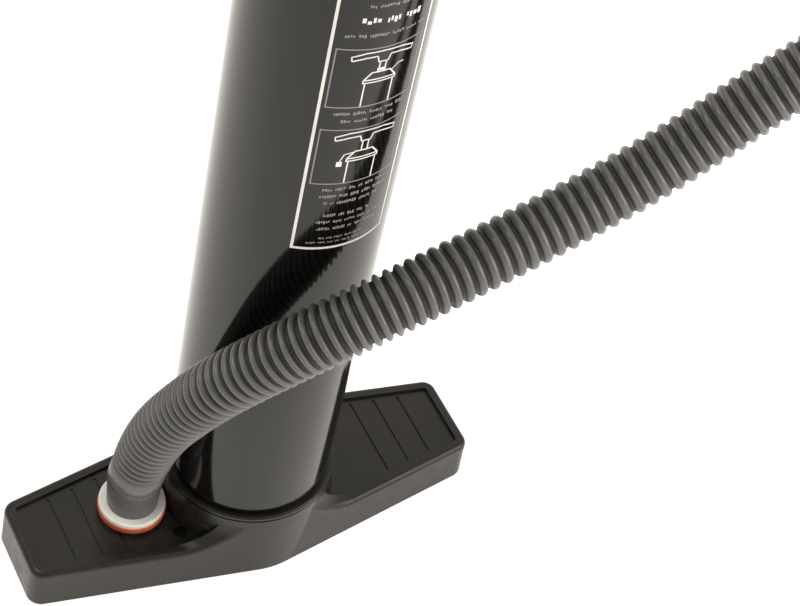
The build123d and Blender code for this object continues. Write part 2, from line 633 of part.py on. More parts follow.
# ---------------------------------------------------------------- plunger
with BuildPart() as shaft:
    with BuildSketch(Plane.XY.offset(SHAFT_BOTTOM)):
        RectangleRounded(SHAFT_X, SHAFT_Y, SHAFT_CORNER)
    extrude(amount=SHAFT_TOP - SHAFT_BOTTOM)
    with BuildSketch(Plane.XY.offset(SHAFT_BOTTOM + 14)):
        RectangleRounded(SHAFT_X - 5, SHAFT_Y - 5, 1.5)
    extrude(amount=SHAFT_TOP - SHAFT_BOTTOM, mode=Mode.SUBTRACT)
    with BuildSketch(Plane.XY.offset(SHAFT_BOTTOM)):
        Circle(BOLT_RADIUS)
    extrude(amount=14, mode=Mode.SUBTRACT)
    with BuildSketch(Plane.XZ.offset(-SHAFT_Y)):
        with Locations((0, PIN_Z)):
            Circle(PIN_RADIUS)
    extrude(amount=2 * SHAFT_Y, mode=Mode.SUBTRACT)
save(shaft.part, "shaft")

with BuildPart() as piston_lower_disc:
    with BuildSketch(Plane.XY.offset(PISTON_BOTTOM)):
        Circle(PISTON_RADIUS)
        Circle(BOLT_RADIUS, mode=Mode.SUBTRACT)
    extrude(amount=PISTON_DISC)
    with BuildSketch(Plane.XY.offset(PISTON_BOTTOM + PISTON_DISC)):
        Circle(SEAL_INNER)
        Circle(BOLT_RADIUS, mode=Mode.SUBTRACT)
    extrude(amount=SEAL_HEIGHT)
    with BuildSketch(Plane.XY.offset(PISTON_BOTTOM)):
        Circle(BOLT_HEAD + 1)
    extrude(amount=BOLT_HEAD_HEIGHT, mode=Mode.SUBTRACT)
    with BuildSketch(Plane.XY.offset(PISTON_BOTTOM)):
        Circle(BUMP_OUTER)
        Circle(BUMP_INNER, mode=Mode.SUBTRACT)
    extrude(amount=BUMP_SEAT, mode=Mode.SUBTRACT)
save(piston_lower_disc.part, "piston_lower_disc")

with BuildPart() as piston_upper_disc:
    with BuildSketch(Plane.XY.offset(PISTON_BOTTOM + PISTON_DISC + SEAL_HEIGHT)):
        Circle(PISTON_RADIUS)
        Circle(BOLT_RADIUS, mode=Mode.SUBTRACT)
    extrude(amount=SHAFT_BOTTOM - PISTON_BOTTOM - PISTON_DISC - SEAL_HEIGHT)
save(piston_upper_disc.part, "piston_upper_disc")

with BuildPart() as piston_seal:
    with BuildSketch(Plane.XY.offset(PISTON_BOTTOM + PISTON_DISC)):
        Circle(SEAL_RADIUS)
        Circle(SEAL_INNER, mode=Mode.SUBTRACT)
    extrude(amount=SEAL_HEIGHT)
    waist = PISTON_BOTTOM + PISTON_DISC + SEAL_HEIGHT / 2
    with BuildSketch(Plane.XZ):
        Polygon(
            (SEAL_RADIUS - 1.6, waist), (SEAL_RADIUS + 1, waist - 1.6), (SEAL_RADIUS + 1, waist + 1.6),
            align=None,
        )
    revolve(axis=Axis.Z, mode=Mode.SUBTRACT)
save(piston_seal.part, "piston_seal")

with BuildPart() as piston_bolt:
    with BuildSketch(Plane.XY.offset(PISTON_BOTTOM + BOLT_HEAD_HEIGHT - 4.0)):
        RegularPolygon(BOLT_HEAD, 6)
    extrude(amount=4.0)
    with BuildSketch(Plane.XY.offset(PISTON_BOTTOM + BOLT_HEAD_HEIGHT)):
        Circle(BOLT_RADIUS)
    extrude(amount=SHAFT_BOTTOM + 12 - PISTON_BOTTOM - BOLT_HEAD_HEIGHT)
save(piston_bolt.part, "piston_bolt")

with BuildPart() as lower_bump:
    with BuildSketch(Plane.XY.offset(PISTON_BOTTOM - 1.5)):
        Circle(BUMP_OUTER)
        Circle(BUMP_INNER, mode=Mode.SUBTRACT)
    extrude(amount=1.5 + BUMP_SEAT)
save(lower_bump.part, "lower_bump")

with BuildPart() as upper_bump:
    with BuildSketch(Plane.XY.offset(SHAFT_BOTTOM)):
        Circle(BUMP_INNER + 3)
        RectangleRounded(SHAFT_X, SHAFT_Y, SHAFT_CORNER, mode=Mode.SUBTRACT)
    extrude(amount=6.0)
    fillet(edges().group_by(Axis.Z)[-1].filter_by(GeomType.CIRCLE).sort_by(SortBy.RADIUS)[-1], 1.5)
save(upper_bump.part, "upper_bump")

# ---------------------------------------------------------------- handle
with BuildPart() as handle_hub:
    with BuildSketch(Plane.XZ):
        Polygon(
            (CORE_HALF, BAR_Z), (CORE_HALF, BAR_Z + BAR_RADIUS), (GRIP_START, BAR_Z + BAR_RADIUS),
            (HUB_SPREAD, BAR_Z + HUB_Y / 2), (-HUB_SPREAD, BAR_Z + HUB_Y / 2),
            (-GRIP_START, BAR_Z + BAR_RADIUS), (-CORE_HALF, BAR_Z + BAR_RADIUS), (-CORE_HALF, BAR_Z),
            align=None,
        )
    revolve(axis=Axis((0, 0, BAR_Z), (1, 0, 0)))
    with BuildSketch(Plane.XY.offset(HUB_BOTTOM)):
        RectangleRounded(HUB_X - 4, HUB_Y - 4, 6)
    with BuildSketch(Plane.XY.offset(BAR_Z - 4)):
        RectangleRounded(HUB_X, HUB_Y - 1, 8)
    loft()
    for rib_z in range(4):
        height = HUB_BOTTOM + 3.0 + 4.6 * rib_z
        with BuildSketch(Plane.XY.offset(height)):
            Rectangle(HUB_X + 10, HUB_Y + 10)
            RectangleRounded(HUB_X - 5, HUB_Y - 5, 5, mode=Mode.SUBTRACT)
        extrude(amount=1.8, mode=Mode.SUBTRACT)
    with BuildSketch(Plane.XY.offset(HUB_BOTTOM)):
        RectangleRounded(SHAFT_X, SHAFT_Y, SHAFT_CORNER)
    extrude(amount=SHAFT_TOP - HUB_BOTTOM, mode=Mode.SUBTRACT)
    with BuildSketch(Plane.XZ.offset(-HUB_Y)):
        with Locations((0, PIN_Z)):
            Circle(PIN_RADIUS)
    extrude(amount=2 * HUB_Y, mode=Mode.SUBTRACT)
save(handle_hub.part, "handle_hub")

with BuildPart() as handle_pin:
    with BuildSketch(Plane.XZ.offset(-HUB_Y / 2 + 2)):
        with Locations((0, PIN_Z)):
            Circle(PIN_RADIUS)
    extrude(amount=HUB_Y - 4)
save(handle_pin.part, "handle_pin")

for side, name in ((-1, "grip_left"), (1, "grip_right")):
    with BuildPart() as grip:
        with BuildSketch(Plane.YZ.offset(side * GRIP_START)):
            with Locations((0, BAR_Z)):
                Circle(GRIP_RADIUS)
                Circle(BAR_RADIUS, mode=Mode.SUBTRACT)
        extrude(amount=side * (CORE_HALF - GRIP_START))
        ends = edges().filter_by(GeomType.CIRCLE).filter_by(lambda e: e.radius > GRIP_RADIUS - 0.1)
        fillet(ends, 1.8)
    save(grip.part, name)

for side, name in ((-1, "grip_cap_left"), (1, "grip_cap_right")):
    with BuildPart() as grip_cap:
        with BuildSketch(Plane.YZ.offset(side * CORE_HALF)):
            with Locations((0, BAR_Z)):
                Circle(GRIP_RADIUS)
        extrude(amount=side * (HANDLE_HALF - CORE_HALF))
        outer = edges().sort_by(Axis.X)[-1 if side > 0 else 0]
        fillet(outer, 4.5)
    save(grip_cap.part, name)

# ---------------------------------------------------------------- hose connection
with BuildPart() as hose_spigot:
    with BuildSketch(Plane.XY.offset(DUCT_TOP)):
        with Locations((PORT_X, 0)):
            Circle(SPIGOT_RADIUS)
            Circle(SPIGOT_BORE, mode=Mode.SUBTRACT)
    extrude(amount=SPIGOT_TOP - DUCT_TOP)
save(hose_spigot.part, "hose_spigot")

with BuildPart() as port_gasket:
    with BuildSketch(Plane.XY.offset(PORT_SEAT)):
        with Locations((PORT_X, 0)):
            Circle(GASKET_RADIUS)
            Circle(SPIGOT_RADIUS, mode=Mode.SUBTRACT)
    extrude(amount=GASKET_TOP - PORT_SEAT)
    fillet(edges().filter_by(GeomType.CIRCLE).filter_by(lambda e: e.radius > GASKET_RADIUS - 0.1), 0.8)
save(port_gasket.part, "port_gasket")

with BuildPart() as port_nut:
    with BuildSketch(Plane.XY.offset(GASKET_TOP)):
        with Locations((PORT_X, 0)):
            Circle(NUT_RADIUS)
            Circle(SPIGOT_RADIUS, mode=Mode.SUBTRACT)
    extrude(amount=NUT_TOP - GASKET_TOP)
    fillet(edges().group_by(Axis.Z)[-1].filter_by(GeomType.CIRCLE).sort_by(SortBy.RADIUS)[-1], 1.2)
save(port_nut.part, "port_nut")

with BuildPart() as hose_cuff:
    with BuildSketch(Plane.XY.offset(NUT_TOP)):
        with Locations((PORT_X, 0)):
            Circle(CUFF_BASE_RADIUS)
    with BuildSketch(Plane.XY.offset(CUFF_TOP)):
        with Locations((PORT_X, 0)):
            Circle(HOSE_RADIUS)
    loft()
    with BuildSketch(Plane.XY.offset(NUT_TOP)):
        with Locations((PORT_X, 0)):
            Circle(SPIGOT_RADIUS)
    extrude(amount=SPIGOT_TOP - NUT_TOP, mode=Mode.SUBTRACT)
    with BuildSketch(Plane.XY.offset(SPIGOT_TOP)):
        with Locations((PORT_X, 0)):
            Circle(HOSE_BORE)
    extrude(amount=CUFF_TOP - SPIGOT_TOP, mode=Mode.SUBTRACT)
save(hose_cuff.part, "hose_cuff")

# ---------------------------------------------------------------- hose
corners = [Vector(*point) for point in HOSE_ROUTE]
runs = [b - a for a, b in zip(corners, corners[1:])]
turns = [a.get_angle(b) for a, b in zip(runs, runs[1:])]
bend_radii = [
    0.45 * min(a.length, b.length) / tan(radians(turn) / 2) for a, b, turn in zip(runs, runs[1:], turns)
]
print("hose bend radii", [round(radius) for radius in bend_radii])
with BuildPart() as hose:
    with BuildLine() as centre_line:
        FilletPolyline(*corners, radius=bend_radii)
    with BuildSketch(Plane(origin=corners[0], z_dir=runs[0])):
        Circle(HOSE_RADIUS)
        Circle(HOSE_BORE, mode=Mode.SUBTRACT)
    sweep()
hose_length = sum(edge.length for edge in centre_line.edges())
hose_section = pi * (HOSE_RADIUS**2 - HOSE_BORE**2)
print("hose length", round(hose_length), "volume ratio", round(hose.part.volume / hose_length / hose_section, 4))
save(hose.part, "hose")

tip = corners[-1]
along = runs[-1].normalized()
tip_plane = Plane(origin=tip, x_dir=along, z_dir=(0, 0, 1))
print("hose end at", tip, "pointing", along)

with BuildPart() as hose_end_cuff:
    with BuildSketch(tip_plane):
        Polygon(
            (0, HOSE_BORE), (0, HOSE_RADIUS), (6, HOSE_RADIUS + 0.6), (END_CUFF_LENGTH, 13.5),
            (END_CUFF_LENGTH, HOSE_BORE - 2), align=None,
        )
    revolve(axis=Axis(tip, along))
save(hose_end_cuff.part, "hose_end_cuff")

with BuildPart() as nozzle:
    with BuildSketch(tip_plane):
        Polygon(
            (END_CUFF_LENGTH, NOZZLE_BORE), (END_CUFF_LENGTH, 15.5), (END_CUFF_LENGTH + 7, 15.5),
            (END_CUFF_LENGTH + 9, 12.5), (END_CUFF_LENGTH + 30, 11.5), (END_CUFF_LENGTH + 30, 10.2),
            (END_CUFF_LENGTH + NOZZLE_TIP_START, NOZZLE_TIP_RADIUS + 0.6),
            (END_CUFF_LENGTH + NOZZLE_TIP_START, NOZZLE_TIP_RADIUS),
            (END_CUFF_LENGTH + NOZZLE_LENGTH, NOZZLE_TIP_RADIUS),
            (END_CUFF_LENGTH + NOZZLE_LENGTH, NOZZLE_BORE), align=None,
        )
    revolve(axis=Axis(tip, along))
save(nozzle.part, "nozzle")

with BuildPart() as nozzle_seal:
    with BuildSketch(tip_plane):
        Polygon(
            (END_CUFF_LENGTH + 9, 12.5), (END_CUFF_LENGTH + 9, 14.5), (END_CUFF_LENGTH + 11.5, 14.5),
            (END_CUFF_LENGTH + 11.5, 12.5 - 2.5 / 21), align=None,
        )
    revolve(axis=Axis(tip, along))
save(nozzle_seal.part, "nozzle_seal")
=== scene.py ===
"""Visual model of a double action hand pump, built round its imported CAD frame.

Metres, in the frame of the CAD: origin on the floor under the barrel's axis, +Z up, the hose
connection at -X and the print on the barrel towards -Y.
"""
import json
import random
from math import cos, hypot, pi, radians, sin

import bmesh
import bpy
from mathutils import Matrix, Vector


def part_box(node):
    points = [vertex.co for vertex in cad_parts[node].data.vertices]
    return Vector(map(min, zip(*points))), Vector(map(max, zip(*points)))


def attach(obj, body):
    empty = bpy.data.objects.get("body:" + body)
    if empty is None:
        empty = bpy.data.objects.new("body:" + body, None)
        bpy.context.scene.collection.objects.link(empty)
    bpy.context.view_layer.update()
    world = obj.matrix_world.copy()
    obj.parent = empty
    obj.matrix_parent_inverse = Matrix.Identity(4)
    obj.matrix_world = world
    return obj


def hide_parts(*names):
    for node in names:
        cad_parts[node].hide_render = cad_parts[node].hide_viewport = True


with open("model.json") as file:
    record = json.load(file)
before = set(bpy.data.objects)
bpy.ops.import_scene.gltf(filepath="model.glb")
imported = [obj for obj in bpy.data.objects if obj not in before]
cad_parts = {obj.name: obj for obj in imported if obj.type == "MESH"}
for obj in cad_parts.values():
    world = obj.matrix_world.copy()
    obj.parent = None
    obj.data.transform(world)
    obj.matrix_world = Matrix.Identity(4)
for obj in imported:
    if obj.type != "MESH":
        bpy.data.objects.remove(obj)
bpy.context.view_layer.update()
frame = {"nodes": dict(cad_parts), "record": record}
NODES = frame["nodes"]
SCENE = bpy.context.scene
MM = 0.001

# ---------------------------------------------------------------- camera
YAW, PITCH, ROLL = radians(37.624), radians(48.243), radians(14.578)
CAMERA_PLACE = Vector((-0.4144, -0.6437, 1.0649))
SENSOR_WIDTH, FOCAL_LENGTH = 36.0, 96.98


def make_camera():
    forward = Vector((sin(YAW) * cos(PITCH), cos(YAW) * cos(PITCH), -sin(PITCH)))
    level = Vector((cos(YAW), -sin(YAW), 0))
    level_up = level.cross(forward)
    right = cos(ROLL) * level + sin(ROLL) * level_up
    up = -sin(ROLL) * level + cos(ROLL) * level_up
    data = bpy.data.cameras.new("camera")
    data.sensor_width = SENSOR_WIDTH
    data.lens = FOCAL_LENGTH
    data.clip_start, data.clip_end = 0.05, 60.0
    camera = bpy.data.objects.new("camera", data)
    SCENE.collection.objects.link(camera)
    turn = Matrix((right, up, -forward)).transposed()
    camera.matrix_world = Matrix.Translation(CAMERA_PLACE) @ turn.to_4x4()
    SCENE.camera = camera


make_camera()


# ---------------------------------------------------------------- materials
def new_material(name):
    material = bpy.data.materials.new(name)
    material.use_nodes = True
    tree = material.node_tree
    return material, tree, tree.nodes["Principled BSDF"]


def noise(tree, scale, detail=3.0, roughness=0.5, stretch=None):
    """A noise texture in the piece's own coordinates; scale is per metre."""
    place = tree.nodes.new("ShaderNodeTexCoord")
    texture = tree.nodes.new("ShaderNodeTexNoise")
    texture.inputs["Scale"].default_value = scale
    texture.inputs["Detail"].default_value = detail
    texture.inputs["Roughness"].default_value = roughness
    if stretch:
        mapping = tree.nodes.new("ShaderNodeMapping")
        mapping.inputs["Scale"].default_value = stretch
        tree.links.new(place.outputs["Object"], mapping.inputs["Vector"])
        tree.links.new(mapping.outputs["Vector"], texture.inputs["Vector"])
    else:
        tree.links.new(place.outputs["Object"], texture.inputs["Vector"])
    return texture.outputs["Fac"]


def ramp(tree, value, low, high, start=0.35, end=0.65):
    """Maps a texture's middle range to low..high."""
    node = tree.nodes.new("ShaderNodeMapRange")
    node.inputs["From Min"].default_value = start
    node.inputs["From Max"].default_value = end
    node.inputs["To Min"].default_value = low
    node.inputs["To Max"].default_value = high
    tree.links.new(value, node.inputs["Value"])
    return node.outputs["Result"]


def blend_colours(tree, value, first, second):
    mix = tree.nodes.new("ShaderNodeMix")
    mix.data_type = "RGBA"
    mix.inputs["A"].default_value = (*first, 1)
    mix.inputs["B"].default_value = (*second, 1)
    tree.links.new(value, mix.inputs["Factor"])
    return mix.outputs["Result"]


def bump(tree, shader, heights):
    """Chains bumps: heights is a list of (texture value, strength, distance in metres)."""
    normal = None
    for value, strength, distance in heights:
        node = tree.nodes.new("ShaderNodeBump")
        node.inputs["Strength"].default_value = strength
        node.inputs["Distance"].default_value = distance
        tree.links.new(value, node.inputs["Height"])
        if normal:
            tree.links.new(normal, node.inputs["Normal"])
        normal = node.outputs["Normal"]
    tree.links.new(normal, shader.inputs["Normal"])


SWELL_STRENGTH, SWELL_HEIGHT = 0.2, 0.0004


def plastic(name, colour, rough, grain, spread=0.12, specular=0.5, mottle=45.0, scuff=0.05,
            swell=None):
    """Moulded plastic or rubber: mottled colour, uneven gloss and, with swell, slow sink marks.

    grain is the fine texture's scale per metre, its height in metres and its strength.
    """
    material, tree, shader = new_material(name)
    cloud = ramp(tree, noise(tree, mottle, 4.0, 0.6), 0.0, 1.0)
    darker = [c * (1 - spread) for c in colour]
    lighter = [c * (1 + spread) for c in colour]
    tree.links.new(blend_colours(tree, cloud, darker, lighter), shader.inputs["Base Color"])
    gloss = ramp(tree, noise(tree, mottle * 4, 5.0, 0.65), rough - scuff, rough + scuff)
    tree.links.new(gloss, shader.inputs["Roughness"])
    shader.inputs["Specular IOR Level"].default_value = specular
    grain_scale, grain_height, grain_strength = grain
    heights = [(noise(tree, grain_scale, 2.0, 0.5), grain_strength, grain_height)]
    if swell:
        heights.insert(0, (noise(tree, swell, 2.0, 0.4), SWELL_STRENGTH, SWELL_HEIGHT))
    bump(tree, shader, heights)
    return material


def metal(name, colour, rough):
    """Turned or plated metal with fine marks drawn out across the axis."""
    material, tree, shader = new_material(name)
    marks = noise(tree, 900.0, 4.0, 0.6, (1, 1, 12))
    tree.links.new(ramp(tree, marks, rough - 0.08, rough + 0.08), shader.inputs["Roughness"])
    tone = ramp(tree, noise(tree, 160.0, 3.0, 0.5), 0.0, 1.0)
    dark = [c * 0.8 for c in colour]
    tree.links.new(blend_colours(tree, tone, dark, colour), shader.inputs["Base Color"])
    shader.inputs["Metallic"].default_value = 1.0
    bump(tree, shader, [(marks, 0.15, 0.00002)])
    return material


BARREL_DARK, BARREL_LIGHT = (0.0022, 0.0018, 0.0014), (0.0040, 0.0033, 0.0026)


def barrel_material():
    """High gloss extruded barrel: almost black, faint streaks and hairline scratches along it."""
    material, tree, shader = new_material("barrel_gloss_finish")
    streak = ramp(tree, noise(tree, 60.0, 3.0, 0.5, (1, 1, 0.06)), 0.0, 1.0)
    colour = blend_colours(tree, streak, BARREL_DARK, BARREL_LIGHT)
    tree.links.new(colour, shader.inputs["Base Color"])
    scratch = noise(tree, 420.0, 6.0, 0.7, (1, 1, 0.12))
    tree.links.new(ramp(tree, scratch, 0.085, 0.15, 0.4, 0.8), shader.inputs["Roughness"])
    shader.inputs["Specular IOR Level"].default_value = 0.36
    bump(tree, shader, [(noise(tree, 55.0, 2.0, 0.4, (1, 1, 0.3)), 0.06, 0.0002)])
    return material


HOSE_CREST_DARK, HOSE_CREST_LIGHT = (0.086, 0.085, 0.084), (0.104, 0.103, 0.102)
# painted shade: the valleys' base colour is far darker than the crests' to stand in for the shade
# that falls in them
HOSE_VALLEY_PAINTED_SHADE = (0.013, 0.0128, 0.0125)
VALLEY_ROUGH, CREST_ROUGH = 0.55, 0.27


def hose_material():
    """Corrugated hose: rubbed smooth along its crests, duller in its valleys, whose colour is
    darkened with painted shade.
    """
    material, tree, shader = new_material("hose_ridged_with_painted_shade")
    height = tree.nodes.new("ShaderNodeAttribute")
    height.attribute_name = "ridge"
    up = height.outputs["Fac"]
    cloud = ramp(tree, noise(tree, 26.0, 4.0, 0.6), 0.0, 1.0)
    crest = blend_colours(tree, cloud, HOSE_CREST_DARK, HOSE_CREST_LIGHT)
    # the ridge height mixes in the valleys' painted shade, fading it out towards the crests
    out_of_painted_shade = ramp(tree, up, 0.0, 1.0, 0.05, 0.75)
    mix = tree.nodes.new("ShaderNodeMix")
    mix.data_type = "RGBA"
    mix.inputs["A"].default_value = (*HOSE_VALLEY_PAINTED_SHADE, 1)
    tree.links.new(crest, mix.inputs["B"])
    tree.links.new(out_of_painted_shade, mix.inputs["Factor"])
    tree.links.new(mix.outputs["Result"], shader.inputs["Base Color"])
    tree.links.new(ramp(tree, up, VALLEY_ROUGH, CREST_ROUGH, 0.2, 0.95), shader.inputs["Roughness"])
    shader.inputs["Specular IOR Level"].default_value = 0.5
    bump(tree, shader, [(noise(tree, 2200.0, 2.0, 0.5), 0.25, 0.00003)])
    return material


# what the two moulded parts of the upper half share
MOULDED = {"colour": (0.0155, 0.0135, 0.0105), "grain": (3000, 0.00004, 0.35), "spread": 0.15,
           "specular": 0.42, "mottle": 34, "scuff": 0.06, "swell": 26}
FINISHES = {
    "foot_plastic": plastic("foot_finish", (0.0120, 0.0105, 0.0082), 0.31, (3200, 0.00004, 0.35),
                            spread=0.15, specular=0.33, mottle=30, scuff=0.06, swell=22),
    "black_rubber": plastic("black_rubber_finish", (0.016, 0.016, 0.016), 0.75,
                            (1800, 0.00006, 0.5)),
    "steel": metal("steel_finish", (0.56, 0.56, 0.54), 0.32),
    "dark_steel": metal("dark_steel_finish", (0.035, 0.034, 0.033), 0.42),
    "barrel_gloss": barrel_material(),
    "inner_plastic": plastic("inner_plastic_finish", (0.62, 0.61, 0.57), 0.42,
                             (2000, 0.00002, 0.2), spread=0.05),
    "seal_rubber": plastic("seal_rubber_finish", (0.022, 0.022, 0.022), 0.55,
                           (2200, 0.00003, 0.35)),
    "cap_plastic": plastic("cap_finish", rough=0.38, **MOULDED),
    "bush_plastic": plastic("bush_finish", (0.56, 0.55, 0.50), 0.35, (2400, 0.00002, 0.2),
                            spread=0.05),
    "red_plug": plastic("red_plug_finish", (0.42, 0.030, 0.022), 0.42, (2600, 0.00002, 0.25),
                        spread=0.08),
    "shaft_plastic": plastic("shaft_finish", (0.024, 0.022, 0.019), 0.30, (1500, 0.00001, 0.05),
                             spread=0.08),
    "handle_plastic": plastic("handle_finish", rough=0.40, **MOULDED),
    "grip_rubber": plastic("grip_finish", (0.020, 0.020, 0.019), 0.68, (1700, 0.00006, 0.5)),
    "orange_ring": plastic("orange_ring_finish", (0.52, 0.090, 0.036), 0.40,
                           (2600, 0.00002, 0.2), spread=0.08),
    "white_ring": plastic("white_ring_finish", (0.70, 0.70, 0.67), 0.42, (2600, 0.00002, 0.2),
                          spread=0.04),
    "hose_grey": plastic("hose_finish", (0.084, 0.083, 0.082), 0.36, (2200, 0.00003, 0.25),
                         spread=0.07, mottle=26),
    "nozzle_plastic": plastic("nozzle_finish", (0.016, 0.014, 0.011), 0.38, (2800, 0.00003, 0.3)),
}

for subpart in frame["record"]["subparts"]:
    node = NODES[subpart["node"]]
    for place in node.material_slots:
        place.material = FINISHES[subpart["material_slot"]]


# ---------------------------------------------------------------- mesh helpers
def new_piece(name, bm, material, smooth=True):
    """Turns a bmesh into an object with one material."""
    bmesh.ops.recalc_face_normals(bm, faces=bm.faces)
    mesh = bpy.data.meshes.new(name)
    bm.to_mesh(mesh)
    bm.free()
    for face in mesh.polygons:
        face.use_smooth = smooth
    mesh.materials.append(material)
    piece = bpy.data.objects.new(name, mesh)
    SCENE.collection.objects.link(piece)
    return piece


def new_ring(bm, centre, side, across, radius, count):
    """A ring of vertices round centre, in the plane of side and across."""
    ring = []
    for k in range(count):
        a = 2 * pi * k / count
        ring.append(bm.verts.new(centre + (side * cos(a) + across * sin(a)) * radius))
    return ring


def skin(bm, rings):
    """Faces from each ring of vertices to the next."""
    for here, ahead in zip(rings, rings[1:]):
        for k in range(len(here)):
            n = (k + 1) % len(here)
            bm.faces.new((here[k], here[n], ahead[n], ahead[k]))


def between(table, x):
    """Linear interpolation in a list of (x, y), level beyond its ends."""
    if x <= table[0][0]:
        return table[0][1]
    for (x0, y0), (x1, y1) in zip(table, table[1:]):
        if x <= x1:
            t = (x - x0) / (x1 - x0)
            return y0 + (y1 - y0) * t
    return table[-1][1]


# ---------------------------------------------------------------- hose
# Corners of the hose's route, from the cuff's top to the far cuff.
HOSE_ROUTE = [
    (-0.0715, 0, 0.058), (-0.070, -0.002, 0.077), (-0.0675, -0.013, 0.116),
    (-0.0625, -0.031, 0.157), (-0.0533, -0.052, 0.201), (-0.0276, -0.0705, 0.2404),
    (0.0123, -0.0787, 0.266), (0.058, -0.0773, 0.279), (0.106, -0.077, 0.296),
    (0.158, -0.0807, 0.3256), (0.2115, -0.0863, 0.371), (0.266, -0.0955, 0.4125),
    (0.322, -0.117, 0.431), (0.379, -0.139, 0.434), (0.435, -0.161, 0.419), (0.483, -0.183, 0.387),
    (0.519, -0.205, 0.341), (0.541, -0.222, 0.288), (0.549, -0.238, 0.230), (0.541, -0.254, 0.171),
    (0.517, -0.270, 0.117), (0.478, -0.286, 0.073), (0.430, -0.300, 0.041), (0.376, -0.310, 0.022),
    (0.323, -0.317, 0.017), (0.275, -0.322, 0.017),
]
# Tables of (distance along the hose, value), in mm: the outside diameter over the ridges, the
# spacing of the ridges, which the bends squeeze and stretch, and how deep the valleys are.
HOSE_WIDTH = [(0, 32.0), (14, 32.0), (26, 33.0), (60, 33.8), (300, 34.0), (1200, 34.0),
              (1370, 32.5)]
HOSE_PITCH = [(0, 5.8), (30, 6.3), (60, 6.9), (90, 7.0), (120, 6.8), (150, 6.5), (175, 5.9),
              (200, 5.5), (235, 5.65), (260, 6.1), (285, 7.1), (310, 7.4), (350, 7.6),
              (400, 7.35), (430, 7.15), (455, 6.6), (490, 6.4), (1378, 6.4)]
RIDGE_DEPTH = [(0, 2.6), (30, 3.0), (120, 3.0), (260, 2.6), (420, 2.5), (500, 2.3), (1378, 2.3)]
# Half the width of a ridge, as a share of the pitch there.
RIDGE_HALF = [(0, 0.34), (90, 0.33), (200, 0.34), (300, 0.38), (420, 0.39), (520, 0.39),
              (1378, 0.39)]
# Where a ridge's outline has its points, from one foot (-1) over the crest to the other.
RIDGE_STEPS = (-1.0, -0.9, -0.68, -0.36, 0.0, 0.36, 0.68, 0.9, 1.0)
RIDGE_POWER = 0.75
# The plain ends: their length, the way down to the first valley, the depth of the last one, and
# how the rims are rounded off, as (distance from the end, drop below the full radius).
PLAIN_START, PLAIN_END = 18.0, 9.0
FIRST_SLOPE, LAST_VALLEY = 1.0, 2.0
START_ROUND = ((0.0, 0.2), (0.4, 0.0))
END_ROUND = ((0.5, 0.4), (0.0, 0.8))
HOSE_SIDES = 48
HOSE_WALL = 1.0
BORE_STEP = 8.0


def hose_centre_line():
    """Points close together on the smooth line through the hose's route."""
    curve = bpy.data.curves.new("hose_route", "CURVE")
    curve.dimensions = "3D"
    spline = curve.splines.new("NURBS")
    spline.points.add(len(HOSE_ROUTE) - 1)
    for point, corner in zip(spline.points, HOSE_ROUTE):
        point.co = (*corner, 1)
    spline.order_u = 3
    spline.use_endpoint_u = True
    spline.resolution_u = 32
    holder = bpy.data.objects.new("hose_route", curve)
    SCENE.collection.objects.link(holder)
    bpy.context.view_layer.update()
    mesh = bpy.data.meshes.new_from_object(holder)
    line = [vertex.co.copy() for vertex in mesh.vertices]
    bpy.data.meshes.remove(mesh)
    bpy.data.objects.remove(holder)
    return line


class Line:
    """A polyline that can be read by distance, with a frame carried along it without twist."""

    def __init__(self, points):
        self.points = points
        self.distance = [0.0]
        for a, b in zip(points, points[1:]):
            self.distance.append(self.distance[-1] + (b - a).length)
        ahead = (points[1] - points[0]).normalized()
        side = ahead.orthogonal().normalized()
        self.axes = []
        for i in range(len(points)):
            before, after = points[max(i - 1, 0)], points[min(i + 1, len(points) - 1)]
            tangent = (after - before).normalized()
            side = (side - tangent * side.dot(tangent)).normalized()
            self.axes.append((tangent, side))
        self.length = self.distance[-1]
        self.at = 0

    def read(self, s):
        """Point, side and across at distance s; s only grows from call to call."""
        while self.at < len(self.points) - 2 and self.distance[self.at + 1] < s:
            self.at += 1
        i = self.at
        t = (s - self.distance[i]) / (self.distance[i + 1] - self.distance[i])
        t = min(max(t, 0.0), 1.0)
        tangent = self.axes[i][0].lerp(self.axes[i + 1][0], t).normalized()
        side = self.axes[i][1].lerp(self.axes[i + 1][1], t)
        side = (side - tangent * side.dot(tangent)).normalized()
        return self.points[i].lerp(self.points[i + 1], t), side, tangent.cross(side)


def hose_stations(length):
    """(distance, outer radius, height up the ridge 0..1) along the hose, with plain ends."""
    plain = HOSE_WIDTH[0][1] / 2
    stations = [(s, plain - drop, 1.0) for s, drop in START_ROUND]
    stations.append((PLAIN_START - FIRST_SLOPE, plain, 1.0))
    s = PLAIN_START
    while s < length - PLAIN_END:
        pitch = between(HOSE_PITCH, s)
        middle = s + pitch / 2
        crest = between(HOSE_WIDTH, middle) / 2
        depth = between(RIDGE_DEPTH, middle)
        half = between(RIDGE_HALF, middle)
        stations.append((s, crest - depth, 0.0))
        for step in RIDGE_STEPS:
            shape = (1 - step * step) ** RIDGE_POWER
            stations.append((middle + step * half * pitch, crest - depth * (1 - shape), shape))
        s += pitch
    crest = between(HOSE_WIDTH, length) / 2
    stations.append((s, crest - LAST_VALLEY, 0.0))
    stations += [(length - back, crest - drop, 1.0) for back, drop in END_ROUND]
    return stations


